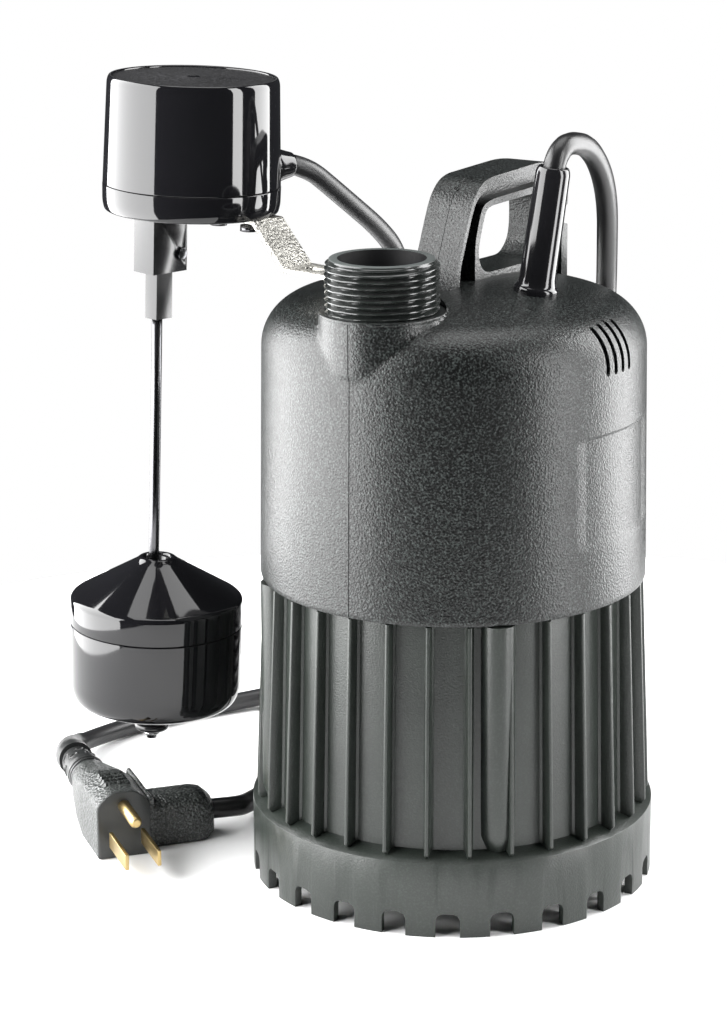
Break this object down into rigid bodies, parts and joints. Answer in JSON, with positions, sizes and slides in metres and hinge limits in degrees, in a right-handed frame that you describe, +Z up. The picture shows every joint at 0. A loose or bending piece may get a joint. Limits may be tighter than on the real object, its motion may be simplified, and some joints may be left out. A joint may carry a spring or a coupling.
{
  "type": "submersible sump pump",
  "caption": "Upright submersible sump pump with a slotted base, ribbed housing, domed cover, threaded outlet, carry handle, rod-and-float switch and piggyback plug.",
  "frame": {"origin": "on the pump's vertical axis, at the floor that the base stands on", "axes": "+Z up; -Y towards the threaded discharge; -X towards the float switch; +X towards the vent slots"},
  "size_m": [0.2718, 0.2763, 0.3016],
  "materials": {
    "housing_plastic": "dark grey-green moulded glass-filled plastic, semi-matt",
    "cover_plastic": "dark grey moulded plastic with a fine pebbled grain",
    "riser_plastic": "dark glossy moulded plastic with a cut thread",
    "pump_plastic": "dark glass-filled plastic",
    "switch_plastic": "glossy black moulded plastic",
    "guide_plastic": "black moulded acetal",
    "insulation_plastic": "dark brown phenolic",
    "plug_plastic": "black moulded vinyl with a pebbled grain",
    "boot_rubber": "glossy black moulded rubber",
    "power_cord_rubber": "black flexible cord jacket",
    "switch_cord_rubber": "dark grey flexible cord jacket",
    "seal_rubber": "black nitrile rubber",
    "stainless": "plain stainless steel",
    "strap_steel": "bright stainless strip with a rolled grain",
    "can_steel": "drawn stainless steel",
    "core_steel": "stacked electrical steel laminations",
    "cap_aluminium": "die-cast aluminium",
    "bearing_bronze": "sintered bronze",
    "winding_enamel": "enamelled copper wire, varnished",
    "blade_brass": "plain brass",
    "ceramic": "ceramic seal seat",
    "carbon": "carbon seal ring"
  },
  "bodies": {
    "pump": {"base_strainer": "housing_plastic", "lower_housing": "housing_plastic", "housing_screws": "stainless", "upper_cover": "cover_plastic", "carry_handle": "cover_plastic", "handle_screws": "stainless", "discharge_riser": "riser_plastic", "volute": "pump_plastic", "intake_plate": "pump_plastic", "volute_screws": "stainless", "seal_plate": "pump_plastic", "shaft_seal_seat": "ceramic", "motor_can": "can_steel", "can_o_ring": "seal_rubber", "motor_cap": "cap_aluminium", "lower_bearing": "bearing_bronze", "upper_bearing": "bearing_bronze", "stator_core": "core_steel", "stator_windings": "winding_enamel", "thermal_protector": "insulation_plastic", "terminal_block": "insulation_plastic", "switch_base": "switch_plastic", "switch_housing": "switch_plastic", "snap_switch": "insulation_plastic", "guide_block": "guide_plastic", "guide_pin": "stainless", "mounting_strap": "strap_steel", "strap_screw": "stainless", "case_screws": "stainless", "power_cord_boot": "boot_rubber", "switch_cord_boot": "boot_rubber", "power_cord_lead": "power_cord_rubber", "power_cord_tail": "power_cord_rubber", "switch_cord_lead": "switch_cord_rubber", "switch_cord_tail": "switch_cord_rubber", "power_cord_coil": "power_cord_rubber", "switch_cord_coil": "switch_cord_rubber", "piggyback_plug": "plug_plastic", "piggyback_blades": "blade_brass", "pump_plug": "plug_plastic", "pump_plug_blades": "blade_brass"},
    "rotor": {"motor_shaft": "stainless", "rotor_core": "core_steel", "impeller": "pump_plastic", "impeller_nut": "stainless", "shaft_seal_ring": "carbon", "shaft_seal_spring": "stainless"},
    "rod": {"float_rod": "stainless", "rod_holder": "guide_plastic", "float_stop": "guide_plastic", "stop_clip": "stainless"},
    "float": {"float_top": "switch_plastic", "float_bottom": "switch_plastic", "float_sleeve": "guide_plastic"},
    "lever": {"switch_lever": "guide_plastic"},
    "plunger": {"switch_plunger": "insulation_plastic"}
  },
  "joints": [
    {"name": "rotor_spin", "type": "hinge", "parent": "pump", "child": "rotor", "pos_m": [0, 0.017, 0.1], "axis": [0, 0, 1], "continuous": true},
    {"name": "rod_slide", "type": "slide", "parent": "pump", "child": "rod", "axis": [0.0314, 0.0189, 0.9993], "range_m": [0, 0.003]},
    {"name": "float_slide", "type": "slide", "parent": "rod", "child": "float", "axis": [0.0314, 0.0189, 0.9993], "range_m": [0, 0.094]},
    {"name": "lever_turn", "type": "hinge", "parent": "pump", "child": "lever", "pos_m": [-0.11292, -0.02151, 0.23131], "axis": [-0.9844, 0.1739, 0.0277], "range_deg": [0, 24]},
    {"name": "plunger_slide", "type": "slide", "parent": "pump", "child": "plunger", "axis": [0.0314, 0.0189, 0.9993], "range_m": [0, 0.003]}
  ],
  "couplings": [
    {"joint": "lever_turn", "follows": "rod_slide", "rad_per_m": 139},
    {"joint": "plunger_slide", "follows": "rod_slide", "ratio": 1}
  ]
}
